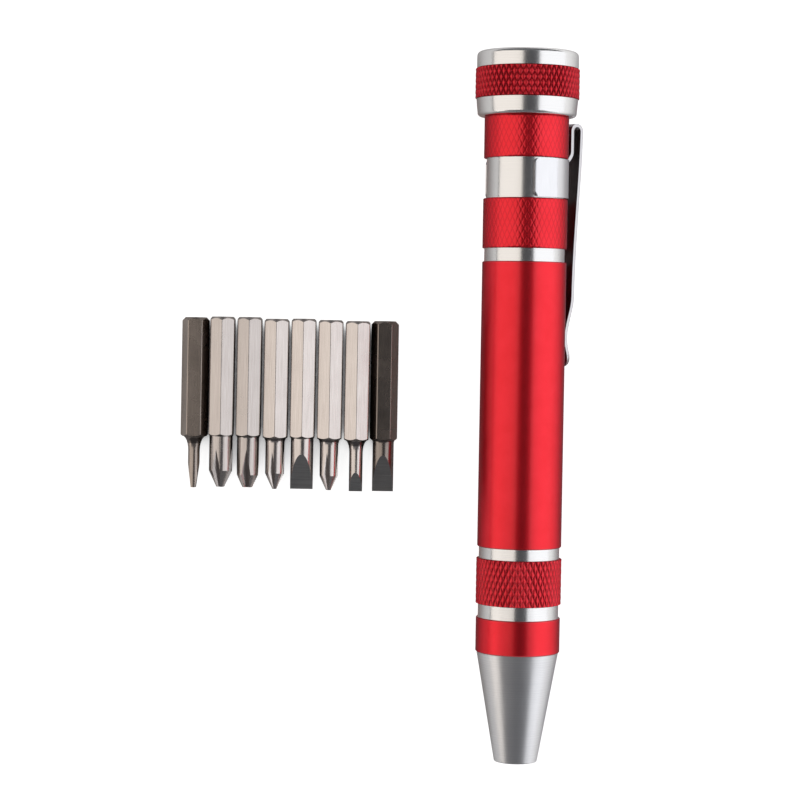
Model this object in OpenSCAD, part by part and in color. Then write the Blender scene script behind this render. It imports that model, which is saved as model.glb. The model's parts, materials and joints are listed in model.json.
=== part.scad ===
// Pocket screwdriver lying on a flat surface beside its eight loose bits.
// Lengths are in millimetres, the surface is z = 0 and the cap points along +Y.

/* [Barrel] */
// Diameter of the plain red barrel
barrel_d = 13.6; // [12.5:0.1:16]
// Wall between the plain barrel and the bore that stores the bits
barrel_wall = 1.4; // [1.2:0.05:2]
// How far a knurled band stands proud of the plain barrel
knurl_rise = 0.1; // [0.05:0.01:0.3]
// Depth of the bright grooves
groove_depth = 0.3; // [0.1:0.02:0.5]
// Small chamfer at the edges of each band
band_chamfer = 0.12; // [0.05:0.01:0.2]
// Length of the plain band next to the nose
front_band_len = 5.63; // [4:0.05:9]
// Length of the groove behind the front band
front_groove_len = 2.14; // [1:0.02:4]
// Length of the front knurled band
front_knurl_len = 7.43; // [4:0.05:12]
// Length of the groove between the front knurl and the grip
grip_groove_len = 1.81; // [1:0.02:4]
// Length of the plain grip
grip_len = 46; // [43:0.1:60]
// Length of the groove behind the grip
rear_groove_len = 2.1; // [1:0.02:4]
// Length of the rear knurled band
rear_knurl_len = 8.05; // [4:0.05:12]
// Length of the knurled neck under the cap
neck_knurl_len = 6.75; // [5:0.05:10]

/* [Cap and thread] */
// How far the cap's knurl stands out beyond the plain barrel
cap_overhang = 1.6; // [1.5:0.05:2.5]
// Length of the bright ring at the mouth of the cap
cap_mouth_len = 2.85; // [2:0.05:4]
// Length of the knurled band of the cap
cap_knurl_len = 4.9; // [3:0.05:8]
// Length of the bright ring at the top of the cap
cap_top_len = 2.7; // [2:0.05:4]
// How far the cap's knurl stands proud of its bright rings
cap_knurl_rise = 0.2; // [0.05:0.01:0.3]
// How much the bright ring at the mouth tapers, on the radius
cap_mouth_taper = 0.2; // [0.1:0.05:0.6]
// Edge radius at the mouth of the cap
cap_mouth_radius = 0.6; // [0.3:0.05:0.9]
// Edge radius at the top of the cap
cap_top_radius = 0.7; // [0.3:0.05:1.5]
// Thickness of the roof of the cap
cap_roof = 2; // [1.5:0.1:3]
// Step from the plain barrel down to the crest of the thread
thread_step = 0.3; // [0.2:0.02:0.5]
// Height of the thread ridge
thread_depth = 0.45; // [0.3:0.01:0.5]
// Rise of the thread in one turn
thread_pitch = 1; // [0.9:0.05:1.25]
// Gap between the two threads
thread_gap = 0.15; // [0.1:0.01:0.2]
// Thickness of the rubber washer in the cap
washer_t = 0.8; // [0.5:0.05:1.2]
// Gap between the washer and the end of the neck
washer_gap = 0.05; // [0.03:0.01:0.1]

/* [Nose] */
// Length of the bare metal cone
cone_len = 17.8; // [15:0.1:25]
// Step from the plain barrel down to the wide end of the cone
cone_step = 0.2; // [0.1:0.05:0.8]
// Wall round the corners of the bit socket at the tip
socket_wall = 1.14; // [0.7:0.02:1.5]
// Edge chamfer at the tip of the cone
tip_chamfer = 0.2; // [0.1:0.05:0.4]
// Depth of the hexagon socket
socket_depth = 12; // [9:0.5:14]
// Length of the spigot inside the barrel
spigot_len = 8; // [5:0.5:12]
// Thickness of the magnet at the bottom of the socket
magnet_t = 3; // [2:0.1:4]
// How much smaller the magnet is than the hexagon, across flats
magnet_step = 0.1; // [0.05:0.05:0.4]

/* [Pocket clip] */
// Thickness of the spring strip
clip_t = 0.55; // [0.35:0.05:0.6]
// Width of the tongue
clip_w = 4.8; // [3.5:0.1:5.5]
// Width of the groove for the collar
clip_groove_len = 6.45; // [5.5:0.05:7]
// Depth of the groove for the collar
clip_groove_depth = 0.45; // [0.3:0.01:0.5]
// Gap on each side of the collar in its groove
collar_side_gap = 0.12; // [0.08:0.01:0.2]
// Running gap between the collar and the groove
collar_gap = 0.05; // [0.03:0.01:0.1]
// Radius of the rounded corners of the collar
collar_corner = 0.9; // [0.4:0.1:1.5]
// Gap between the knurled neck and the strip that stands up from the collar
strip_gap = 0.67; // [0.3:0.01:1]
// Radius of the fold, to the middle of the strip
fold_r = 1; // [0.6:0.02:1.3]
// Gap between the fold and the mouth of the cap
fold_gap = 0.6; // [0.5:0.05:2]
// Length of the tongue from the top of the fold to its tip
tongue_len = 39.7; // [37:0.1:50]
// Length of the flared tip
flare_len = 4.6; // [3:0.1:8]
// How far the tip flares away from the barrel
flare_rise = 1.4; // [0.3:0.05:2]
// Gap between the tongue and the barrel where it bears
tongue_gap = 0.08; // [0.05:0.01:0.15]
// Gap in the fold, where the collar and the tongue are parted
fold_split = 0.3; // [0.25:0.01:0.4]

/* [Bits] */
// Width of the hexagon across flats
bit_af = 4; // [3.5:0.05:4.5]
// Overall length of a bit
bit_len = 27.85; // [24:0.05:32]
// Length of the working end of a bit
tip_len = 8.4; // [7:0.1:10]
// Gap between a bit and the socket, on each flat
socket_gap = 0.05; // [0.03:0.01:0.1]
// Gap between two neighbouring bits
bit_gap = 0.43; // [0.4:0.005:1]
// Gap between the row of bits and the cap
row_gap = 11.6; // [5:0.1:20]
// How far the most forward bit lies out of line with the others
bit_slip = 0.4; // [0:0.05:2]
// Length of the chamfer at the tail of a bit
tail_chamfer = 0.6; // [0.3:0.05:1]
// Largest depth of the hollow curve between hexagon and working end
neck_fillet = 1.2; // [0.5:0.05:1.5]
// Length of that curve, as a share of its depth
neck_fillet_share = 2.3; // [1:0.1:3]
// Shaft diameter of the smallest slotted bit
slotted_1_5_d = 1.9; // [1.4:0.05:2.2]
// Blade thickness of the smallest slotted bit
slotted_1_5_t = 0.76; // [0.3:0.02:0.9]
// Length of the ground flats of the smallest slotted bit
slotted_1_5_flat = 4.1; // [3:0.1:5]
// Shaft diameter of the narrow slotted bit
slotted_2_d = 2.2; // [1.8:0.05:2.6]
// Blade thickness of the narrow slotted bit
slotted_2_t = 0.4; // [0.3:0.02:0.6]
// Length of the ground flats of the narrow slotted bit
slotted_2_flat = 3.1; // [2.5:0.1:5]
// Shaft diameter of the medium slotted bit
slotted_3_d = 3.45; // [2.8:0.05:3.6]
// Blade thickness of the medium slotted bit
slotted_3_t = 0.55; // [0.4:0.02:0.8]
// Length of the ground flats of the medium slotted bit
slotted_3_flat = 5.9; // [4:0.1:6]
// Shaft diameter of the widest slotted bit
slotted_3_5_d = 3.7; // [3.2:0.05:3.8]
// Blade thickness of the widest slotted bit
slotted_3_5_t = 0.6; // [0.4:0.02:0.9]
// Length of the ground flats of the widest slotted bit
slotted_3_5_flat = 5.7; // [4:0.1:6]
// Shaft diameter of the smallest cross bit
cross_00_d = 3.1; // [2.6:0.05:3.6]
// Point diameter of the smallest cross bit
cross_00_point = 0.7; // [0.5:0.05:1]
// Shaft diameter of the small cross bit
cross_0_d = 3; // [2.6:0.05:3.6]
// Point diameter of the small cross bit
cross_0_point = 0.8; // [0.5:0.05:1]
// Shaft diameter of the middle cross bit
cross_1_d = 3.6; // [3:0.05:3.7]
// Point diameter of the middle cross bit
cross_1_point = 1.7; // [1:0.05:2]
// Shaft diameter of the largest cross bit
cross_2_d = 3.8; // [3.4:0.05:3.85]
// Point diameter of the largest cross bit
cross_2_point = 1.3; // [1:0.05:2]
// Length of the flutes of the cross bits
flute_len = 6.2; // [5:0.1:7]

/* [Hidden] */
$fn = 64;

// One overrun serves all cuts
overrun = 1;
// Slip between pieces that are pressed together
press_gap = 0.02;
// Steps in a short arc of an outline
arc_steps = 6;

// Radii of the barrel, from outside to inside
barrel_r = barrel_d / 2;
knurl_r = barrel_r + knurl_rise;
groove_r = barrel_r - groove_depth;
clip_groove_r = barrel_r - clip_groove_depth;
thread_r = barrel_r - thread_step;
core_r = thread_r - thread_depth;
bore_r = barrel_r - barrel_wall;

// Bands of the barrel from the nose to the cap, each with its length and radius
bands = [
    [front_band_len, barrel_r],
    [front_groove_len, groove_r],
    [front_knurl_len, knurl_r],
    [grip_groove_len, groove_r],
    [grip_len, barrel_r],
    [rear_groove_len, groove_r],
    [rear_knurl_len, knurl_r],
    [clip_groove_len, clip_groove_r],
    [neck_knurl_len, knurl_r]
];
clip_groove_index = 7;
function band_start(i) = i == 0 ? cone_len : band_start(i - 1) + bands[i - 1][0];

// Stations along the axis, measured from the tip of the nose
mouth_z = band_start(len(bands));
cap_knurl_z = mouth_z + cap_mouth_len;
cap_ring_z = cap_knurl_z + cap_knurl_len;
top_z = cap_ring_z + cap_top_len;
roof_z = top_z - cap_roof;
washer_z = roof_z - washer_t;
neck_end_z = washer_z - washer_gap;

// Cap and washer
cap_r = barrel_r + cap_overhang;
ring_r = cap_r - cap_knurl_rise;
mouth_r = ring_r - cap_mouth_taper;
cap_bore_r = thread_r + thread_gap;
cap_crest_r = core_r + thread_gap;
cap_chamfer = min(band_chamfer, cap_knurl_rise / 2);
washer_r = cap_crest_r - thread_gap;
washer_hole_r = bore_r / 2;

// Thread ridges: half widths as shares of the pitch, and steps in a turn
root_share = 0.34;
crest_share = 0.12;
turn_steps = 24;
fade_steps = 6;
fade_low_share = 0.15;
// How deep a ridge is sunk into the wall that carries it
ridge_sink = 0.2;
// Both ridges start clear of the mouth, half a pitch apart
neck_thread_z = mouth_z + thread_pitch;
cap_thread_z = neck_thread_z + thread_pitch / 2;

// Hexagon of the bits and of the socket
bit_corner_r = bit_af / 2 / cos(30);
socket_corner_r = (bit_af / 2 + socket_gap) / cos(30);

// Nose and magnet
tip_r = socket_corner_r + socket_wall;
cone_r = barrel_r - cone_step;
spigot_r = bore_r - press_gap;
magnet_r = bit_af / 2 - magnet_step;

// Pocket clip, in a plane through the axis
clip_turn = 38;
collar_half_wrap = 119.5;
collar_w = clip_groove_len - 2 * collar_side_gap;
collar_z = band_start(clip_groove_index) + collar_side_gap;
collar_r = clip_groove_r + collar_gap;
strip_r = knurl_r + strip_gap + clip_t / 2;
leaf_r = strip_r + 2 * fold_r;
fold_top_z = mouth_z - fold_gap;
fold_z = fold_top_z - fold_r - clip_t / 2;
split_angle = asin(fold_split / 2 / fold_r);
bear_r = barrel_r + tongue_gap + clip_t / 2;
tongue_tip_z = fold_top_z - tongue_len;
bear_z = tongue_tip_z + flare_len;
// The strip leaves the collar in an S bend that starts inside its edge
bend_len = 2.9;
bend_inset = 1.3;
bend_lift = 0.16;
bend_steps = 8;
// Shares that shape the tongue: its long bow from the fold, then its dip to the bearing point
bow_run_shares = [0, 0.25, 0.5, 0.8];
bow_drop_shares = [0, 0.06, 0.46, 0.5];
bow_steps = 10;
dip_run_shares = [0.8, 0.86, 0.93, 1];
dip_drop_shares = [0.5, 0.515, 1, 1];
dip_steps = 8;
flare_steps = 5;
flare_power = 1.5;

// The driver rests on the rim of its cap and on the band next to its nose
band_rest_z = cone_len + band_chamfer;
cap_rest_z = cap_knurl_z + cap_chamfer;
tilt = atan((cap_r - barrel_r) / (cap_rest_z - band_rest_z));
rest_height = barrel_r * cos(tilt) - band_rest_z * sin(tilt);

// Layout of the driver and the row of bits about the middle of the whole
bit_count = 8;
slip_shares = [0.5, 0.1, 0.1, 0.65, 0.4, 0.75, 1, 0.8];
bit_pitch = bit_af + bit_gap;
clip_reach = (leaf_r + clip_t / 2) * cos(clip_turn) + clip_w / 2 * sin(clip_turn);
driver_reach = max(cap_r, clip_reach);
row_w = (bit_count - 1) * bit_pitch + 2 * bit_corner_r;
whole_w = row_w + row_gap + cap_r + driver_reach;
driver_x = whole_w / 2 - driver_reach;
driver_lean = (ring_r - cap_top_radius - tip_r + tip_chamfer) * sin(tilt);
driver_y = -(top_z * cos(tilt) + driver_lean) / 2;
function bit_x(i) = bit_corner_r - whole_w / 2 + i * bit_pitch;

// Bits
tail_share = 0.875;
tail_r = tail_share * bit_af / 2;
flute_core_share = 0.11;
point_angle = 25;

// Points on an arc about a centre, between two angles
function arc(centre, r, from, to) =
    [for (i = [0:arc_steps]) let (a = from + (to - from) * i / arc_steps)
        centre + r * [cos(a), sin(a)]];

// Point on a cubic curve, where shares holds the four control values
function cubic(shares, s) =
    pow(1 - s, 3) * shares[0] + 3 * s * pow(1 - s, 2) * shares[1]
    + 3 * s * s * (1 - s) * shares[2] + pow(s, 3) * shares[3];

// Direction of a path at one of its points
function heading(path, i) =
    let (a = path[max(i - 1, 0)], b = path[min(i + 1, len(path) - 1)])
    (b - a) / norm(b - a);

// A path moved sideways by a distance
function beside(path, d) =
    [for (i = [0:len(path) - 1]) let (h = heading(path, i)) path[i] + d * [-h[1], h[0]]];

// A path read from its end to its start
function backwards(path) = [for (i = [len(path) - 1:-1:0]) path[i]];

// Outline of a strip of even thickness along a path
function strip_outline(path) =
    concat(beside(path, clip_t / 2), backwards(beside(path, -clip_t / 2)));

// Outline of one band of the barrel, chamfered where it stands proud
function band_outline(i) =
    let (z = band_start(i), r = bands[i][1], end = z + bands[i][0])
    r < barrel_r
        ? [[r, z], [r, end]]
        : [[r - band_chamfer, z], [r, z + band_chamfer],
           [r, end - band_chamfer], [r - band_chamfer, end]];

// Middle line of the strip from the collar up to the top of the fold
function band_path() =
    let (low_z = collar_z + collar_w - bend_inset, low_r = collar_r + clip_t / 2 + bend_lift)
    concat(
        [for (i = [0:bend_steps]) let (s = i / bend_steps)
            [low_r + (strip_r - low_r) * (1 - cos(180 * s)) / 2, low_z + bend_len * s]],
        arc([strip_r + fold_r, fold_z], fold_r, 180, 90 + split_angle));

// Radius and height on the middle line of the tongue, by shares of its run and of its drop
function tongue_place(run_shares, drop_shares, s) =
    [leaf_r - (leaf_r - bear_r) * cubic(drop_shares, s),
     fold_z - (fold_z - bear_z) * cubic(run_shares, s)];

// Middle line of the tongue from the top of the fold to the flared tip
function tongue_path() =
    concat(
        arc([strip_r + fold_r, fold_z], fold_r, 90 - split_angle, 0),
        [for (i = [1:bow_steps]) tongue_place(bow_run_shares, bow_drop_shares, i / bow_steps)],
        [for (i = [1:dip_steps]) tongue_place(dip_run_shares, dip_drop_shares, i / dip_steps)],
        [for (i = [1:flare_steps]) let (s = i / flare_steps)
            [bear_r + flare_rise * pow(s, flare_power), bear_z - flare_len * s]]);

// Sets what is built upright, tip down, into its place on the surface
module lay_driver() {
    translate([driver_x, driver_y, rest_height]) rotate([tilt - 90, 0, 0]) children();
}

// Sets a bit that is built tail down into its place in the row
module lay_bit(i, corner_up) {
    height = corner_up ? bit_corner_r : bit_af / 2;
    translate([bit_x(i), bit_len / 2 - bit_slip * slip_shares[i], height]) rotate([90, 0, 0]) children();
}

// Draws an outline of radius and height at the clip's place round the barrel
module clip_slice(outline) {
    rotate([90, 0, clip_turn])
        linear_extrude(height = clip_w, center = true) polygon(outline);
}

// A helical ridge between two radii that fades out at both ends
module thread_ridge(root_r, crest_r, low_z, room) {
    count = floor(room / thread_pitch * turn_steps);
    outward = crest_r > root_r;
    sunk_r = outward ? root_r - ridge_sink : root_r + ridge_sink;
    slope = (root_share - crest_share) * thread_pitch / thread_depth;
    root_half = root_share * thread_pitch + slope * ridge_sink;
    crest_half = crest_share * thread_pitch;
    rings = [for (i = [0:count])
        let (
            fade = min(1, fade_low_share + min(i, count - i) / fade_steps),
            top_r = sunk_r + (crest_r - sunk_r) * fade,
            a = 360 * i / turn_steps,
            z = low_z + thread_pitch * i / turn_steps
        )
        each [for (p = [[sunk_r, -root_half], [top_r, -crest_half],
                        [top_r, crest_half], [sunk_r, root_half]])
            [p[0] * cos(a), p[0] * sin(a), z + p[1]]]];
    sides = [for (i = [0:count - 1], j = [0:3])
        let (a = 4 * i + j, b = 4 * i + (j + 1) % 4)
        each [[a, b, b + 4], [a, b + 4, a + 4]]];
    last = 4 * count;
    ends = [[0, 2, 1], [0, 3, 2], [last, last + 1, last + 2], [last, last + 2, last + 3]];
    faces = concat(sides, ends);
    polyhedron(points = rings, faces = outward ? faces : [for (f = faces) [f[0], f[2], f[1]]]);
}

// Red tube with its bands and grooves, its bore and the threaded neck
module barrel() {
    outside = [for (i = [0:len(bands) - 1]) each band_outline(i)];
    neck = [[core_r, mouth_z], [core_r, neck_end_z]];
    inside = [[bore_r, neck_end_z], [bore_r, cone_len]];
    color("crimson") lay_driver() union() {
        rotate_extrude() polygon(concat(outside, neck, inside));
        thread_ridge(core_r, thread_r, neck_thread_z, neck_end_z - thread_pitch - neck_thread_z);
    }
}

// Bare metal cone with its spigot, the hexagon socket and the pocket for the magnet
module nose() {
    outline = [[0, 0], [tip_r - tip_chamfer, 0], [tip_r, tip_chamfer], [cone_r, cone_len],
        [spigot_r, cone_len], [spigot_r, cone_len + spigot_len], [0, cone_len + spigot_len]];
    color("gray") lay_driver() difference() {
        rotate_extrude() polygon(outline);
        translate([0, 0, -overrun])
            cylinder(r = socket_corner_r, h = socket_depth + overrun, $fn = 6);
        translate([0, 0, socket_depth - overrun])
            cylinder(r = magnet_r + press_gap, h = magnet_t + press_gap + overrun);
    }
}

// Magnet that holds a bit in the socket
module bit_magnet() {
    color("dimgray") lay_driver() translate([0, 0, socket_depth]) cylinder(r = magnet_r, h = magnet_t);
}

// Screw cap with its knurled band between two bright rings
module cap() {
    outline = concat(
        [[cap_bore_r, mouth_z]],
        arc([mouth_r - cap_mouth_radius, mouth_z + cap_mouth_radius], cap_mouth_radius, -90, 0),
        [[ring_r, cap_knurl_z], [cap_r - cap_chamfer, cap_knurl_z],
         [cap_r, cap_knurl_z + cap_chamfer], [cap_r, cap_ring_z - cap_chamfer],
         [cap_r - cap_chamfer, cap_ring_z], [ring_r, cap_ring_z]],
        arc([ring_r - cap_top_radius, top_z - cap_top_radius], cap_top_radius, 0, 90),
        [[0, top_z], [0, roof_z], [cap_bore_r, roof_z]]);
    color("firebrick") lay_driver() union() {
        rotate_extrude() polygon(outline);
        thread_ridge(cap_bore_r, cap_crest_r, cap_thread_z, washer_z - thread_pitch - cap_thread_z);
    }
}

// Rubber washer between the roof of the cap and the end of the neck
module cap_washer() {
    color("black") lay_driver() translate([0, 0, washer_z]) difference() {
        cylinder(r = washer_r, h = washer_t);
        translate([0, 0, -overrun]) cylinder(r = washer_hole_r, h = washer_t + 2 * overrun);
    }
}

// Waste at one corner of the collar, outside a rounded corner that points along +Y and +Z
module collar_corner_waste() {
    difference() {
        translate([collar_r - overrun, -collar_corner, -collar_corner])
            cube([clip_t + 2 * overrun, collar_corner + overrun, collar_corner + overrun]);
        translate([collar_r - 2 * overrun, -collar_corner, -collar_corner]) rotate([0, 90, 0])
            cylinder(r = collar_corner, h = clip_t + 4 * overrun);
    }
}

// Sprung collar with the strip that stands up from it and half of the fold
module clip_band() {
    low = collar_z;
    high = collar_z + collar_w;
    color("silver") lay_driver() union() {
        difference() {
            rotate([0, 0, clip_turn - collar_half_wrap]) rotate_extrude(angle = 2 * collar_half_wrap)
                polygon([[collar_r, low], [collar_r + clip_t, low],
                         [collar_r + clip_t, high], [collar_r, high]]);
            for (side = [-1, 1], end = [0, 1])
                rotate([0, 0, clip_turn + side * collar_half_wrap])
                    translate([0, 0, end == 0 ? low : high])
                        mirror([0, side < 0 ? 1 : 0, 0]) mirror([0, 0, end == 0 ? 1 : 0])
                            collar_corner_waste();
        }
        clip_slice(strip_outline(band_path()));
    }
}

// Outer leaf of the clip with its other half of the fold and a rounded tip
module clip_tongue() {
    color("silver") lay_driver() intersection() {
        clip_slice(strip_outline(tongue_path()));
        rotate([90, 0, clip_turn + 90]) linear_extrude(height = leaf_r + clip_t) {
            translate([0, tongue_tip_z + clip_w / 2]) circle(d = clip_w);
            translate([-clip_w / 2, tongue_tip_z + clip_w / 2]) square([clip_w, tongue_len]);
        }
    }
}

// Hexagon rod turned to an outline that runs from the tail to the tip
module bit_blank(shaft_r, tip_points) {
    shank_len = bit_len - tip_len;
    hip_r = bit_af / 2 - press_gap;
    fillet = min(neck_fillet, hip_r - shaft_r);
    curve = arc([shaft_r + fillet, fillet], fillet, 270, 180);
    outline = concat(
        [[0, 0], [tail_r, 0], [bit_corner_r + overrun, tail_chamfer * (1 + overrun / (bit_corner_r - tail_r))],
         [bit_corner_r + overrun, shank_len - tail_chamfer], [bit_corner_r, shank_len - tail_chamfer / 2],
         [hip_r, shank_len]],
        [for (point = curve) [point[0], shank_len + point[1] * neck_fillet_share]],
        tip_points);
    intersection() {
        cylinder(r = bit_corner_r, h = bit_len, $fn = 6);
        rotate_extrude() polygon(outline);
    }
}

// Slotted bit with two ground flats; turn sets which way the blade faces
module slotted_bit(shaft_d, blade_t, flat_len, hex_turn, blade_turn) {
    shaft_r = shaft_d / 2;
    waste = [[blade_t / 2, bit_len + overrun], [blade_t / 2, bit_len],
        [shaft_r, bit_len - flat_len], [shaft_r + overrun, bit_len - flat_len],
        [shaft_r + overrun, bit_len + overrun]];
    difference() {
        rotate([0, 0, hex_turn]) bit_blank(shaft_r, [[shaft_r, bit_len], [0, bit_len]]);
        for (side = [0, 180]) rotate([0, 0, blade_turn + side]) rotate([90, 0, 90])
            linear_extrude(height = shaft_d + overrun, center = true) polygon(waste);
    }
}

// Cross bit with four flutes ground towards its blunt point
module cross_bit(shaft_d, point_d, hex_turn, flute_turn) {
    shaft_r = shaft_d / 2;
    point_len = (shaft_d - point_d) / 2 / tan(point_angle);
    core = shaft_d * flute_core_share;
    lean = atan((shaft_r - core) / flute_len);
    run = flute_len / cos(lean);
    difference() {
        rotate([0, 0, hex_turn]) bit_blank(shaft_r,
            [[shaft_r, bit_len - point_len], [point_d / 2, bit_len], [0, bit_len]]);
        for (quarter = [0:3]) rotate([0, 0, flute_turn + 90 * quarter])
            translate([0, core, bit_len]) rotate([lean, 0, 0]) translate([0, 0, -run])
                linear_extrude(height = run + overrun)
                    polygon([[0, 0], [shaft_d, shaft_d], [-shaft_d, shaft_d]]);
    }
}

module bit_slotted_1_5() {
    color("dimgray") lay_bit(0, false)
        slotted_bit(slotted_1_5_d, slotted_1_5_t, slotted_1_5_flat, 0, 90);
}

module bit_cross_2() {
    color("tan") lay_bit(1, true) cross_bit(cross_2_d, cross_2_point, 30, 20);
}

module bit_cross_1() {
    color("tan") lay_bit(2, true) cross_bit(cross_1_d, cross_1_point, 30, 5);
}

module bit_cross_00() {
    color("tan") lay_bit(3, true) cross_bit(cross_00_d, cross_00_point, 30, 15);
}

module bit_slotted_3_5() {
    color("tan") lay_bit(4, true)
        slotted_bit(slotted_3_5_d, slotted_3_5_t, slotted_3_5_flat, 30, 0);
}

module bit_cross_0() {
    color("tan") lay_bit(5, true) cross_bit(cross_0_d, cross_0_point, 30, 12);
}

module bit_slotted_2() {
    color("tan") lay_bit(6, true)
        slotted_bit(slotted_2_d, slotted_2_t, slotted_2_flat, 30, 0);
}

module bit_slotted_3() {
    color("dimgray") lay_bit(7, false)
        slotted_bit(slotted_3_d, slotted_3_t, slotted_3_flat, 0, 0);
}

barrel();
nose();
bit_magnet();
cap();
cap_washer();
clip_band();
clip_tongue();
bit_slotted_1_5();
bit_cross_2();
bit_cross_1();
bit_cross_00();
bit_slotted_3_5();
bit_cross_0();
bit_slotted_2();
bit_slotted_3();
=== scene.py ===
# %% [markdown]
# # A pocket screwdriver and its loose bits
# The real object is a turned aluminium tube, anodised red, then cut bright again in narrow
# grooves. It has a wide screw cap, a bare metal nose, a sprung pocket clip and eight loose bits.
# The imported solids are loaded first and never moved. Every piece below is made over its solid,
# in the same place and size, and every piece but the clip rides on the same body.

# %% Frame
import json
import math
from functools import partial

import bmesh
import bpy
from mathutils import Matrix, Vector


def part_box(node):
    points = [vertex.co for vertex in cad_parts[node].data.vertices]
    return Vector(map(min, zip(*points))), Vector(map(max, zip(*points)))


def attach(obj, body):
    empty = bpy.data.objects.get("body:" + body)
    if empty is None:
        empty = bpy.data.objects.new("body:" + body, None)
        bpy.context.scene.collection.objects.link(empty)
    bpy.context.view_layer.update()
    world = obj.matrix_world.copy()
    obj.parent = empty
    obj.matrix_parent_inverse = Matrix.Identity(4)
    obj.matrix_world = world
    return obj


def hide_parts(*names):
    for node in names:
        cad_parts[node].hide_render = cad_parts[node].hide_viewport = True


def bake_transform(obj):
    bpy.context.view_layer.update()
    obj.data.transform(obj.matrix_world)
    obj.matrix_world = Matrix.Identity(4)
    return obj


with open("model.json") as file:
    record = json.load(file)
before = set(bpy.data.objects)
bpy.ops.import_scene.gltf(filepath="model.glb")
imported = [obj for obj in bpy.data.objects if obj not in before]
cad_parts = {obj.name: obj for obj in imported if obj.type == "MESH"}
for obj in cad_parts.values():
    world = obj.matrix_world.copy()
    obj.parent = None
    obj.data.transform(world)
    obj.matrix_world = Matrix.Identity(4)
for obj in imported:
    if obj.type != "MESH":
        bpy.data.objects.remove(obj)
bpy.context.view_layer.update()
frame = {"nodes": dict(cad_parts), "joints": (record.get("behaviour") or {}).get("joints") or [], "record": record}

# %% [markdown]
# ## Where the driver lies
# The driver lies on its cap and on its front band, so its axis rises by about a degree. Turned
# pieces are far easier to draw upright, with the tip of the nose at the origin and the axis
# along Z. One matrix, read from the screw joint of the cap and the mount at the tip of the nose,
# then lays each finished mesh down in its place.

# %% Axis of the driver
MM = 0.001
joints = {joint["name"]: joint for joint in frame["joints"]}
mounts = {mount["name"]: mount for mount in frame["record"]["mounts"]}
nose_tip = Vector(mounts["bit_socket"]["pos_m"])
driver_axis = Vector(joints["cap_turn"]["axis"]).normalized()
across = Vector((1, 0, 0))
downward = driver_axis.cross(across)

lay_down = Matrix((across, downward, driver_axis)).transposed().to_4x4()
lay_down.translation = nose_tip
mouth_z = (Vector(joints["cap_turn"]["pos_m"]) - nose_tip).dot(driver_axis)
rise = math.degrees(math.asin(driver_axis.z))
print(f"axis rises {rise:.2f} degrees, cap mouth at {mouth_z / MM:.2f} mm")

# %% [markdown]
# ## Camera
# The photograph looks straight down through a telephoto lens. The rings of the barrel curve one
# way near the cap and the other way near the nose, which gives the height of the camera and the
# spot it stands over. The lens is shifted so that the picture still shows the whole table. The
# picture is turned by one degree, so the camera is turned with it.

# %% Camera
CAMERA_HEIGHT = 394 * MM
CAMERA_PLACE = (3.3 * MM, 6.8 * MM)
CAMERA_SHIFT = -0.0462
CAMERA_ROLL = math.radians(1.0)
CAMERA_LENS, SENSOR_WIDTH = 107.57, 36

camera_data = bpy.data.cameras.new("camera")
camera_data.lens = CAMERA_LENS
camera_data.shift_y = CAMERA_SHIFT
camera_data.sensor_width = SENSOR_WIDTH
camera_data.clip_start = 10 * MM
camera = bpy.data.objects.new("camera", camera_data)
camera.location = (*CAMERA_PLACE, CAMERA_HEIGHT)
camera.rotation_euler = (0, 0, CAMERA_ROLL)
bpy.context.scene.collection.objects.link(camera)
bpy.context.scene.camera = camera
bpy.context.scene.view_settings.view_transform = "Standard"
print("camera at", [round(x, 4) for x in camera.location])

# %% [markdown]
# ## Floor
# The background is plain white. The floor is pale paint that takes the object's shadow, and light
# of its own is added where the camera looks at it, so that open floor comes out white. The added
# light fades in narrow gaps, as light from outside would. Reflections see less of it. For them it
# also fades over a wide reach round the object and on its left side, so that the edges of the
# metal turn softly grey.

# %% Small helpers
def feed(node, inputs):
    """Links an output, or sets a plain value, into each named input of a node."""
    for socket, source in inputs.items():
        if isinstance(source, bpy.types.NodeSocket):
            node.id_data.links.new(source, node.inputs[socket])
        else:
            node.inputs[socket].default_value = source


def add_node(tree, kind, inputs=None, **settings):
    """A new node of a tree, with its properties set and its inputs fed by name."""
    node = tree.nodes.new(kind)
    for key, value in settings.items():
        setattr(node, key, value)
    feed(node, inputs or {})
    return node


def math_node(tree, operation, *values):
    """The result of one Math node."""
    return add_node(tree, "ShaderNodeMath", dict(enumerate(values)), operation=operation).outputs[0]


def axes_of(tree, vector):
    """The X, Y and Z outputs of a vector."""
    return add_node(tree, "ShaderNodeSeparateXYZ", {0: vector}).outputs


def map_range(tree, value, from_low, from_high, to_low=0.0, to_high=1.0):
    """A value moved from one range to another and held inside it."""
    node = add_node(tree, "ShaderNodeMapRange", {
        "Value": value, "From Min": from_low, "From Max": from_high,
        "To Min": to_low, "To Max": to_high})
    return node.outputs["Result"]


def openness(tree, reach, closed, open_level):
    """How open the place is within a reach: 0 where it is hemmed in, 1 where nothing is near."""
    node = add_node(tree, "ShaderNodeAmbientOcclusion", {"Distance": reach})
    return map_range(tree, node.outputs["AO"], closed, open_level)


def new_material(name):
    """A material with its tree and its Principled shader."""
    material = bpy.data.materials.new(name)
    material.use_nodes = True
    return material, material.node_tree, material.node_tree.nodes["Principled BSDF"]


def new_object(name, mesh, finishes):
    """An object at the origin with its materials in order."""
    for material in finishes:
        mesh.materials.append(material)
    thing = bpy.data.objects.new(name, mesh)
    bpy.context.scene.collection.objects.link(thing)
    return thing


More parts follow.
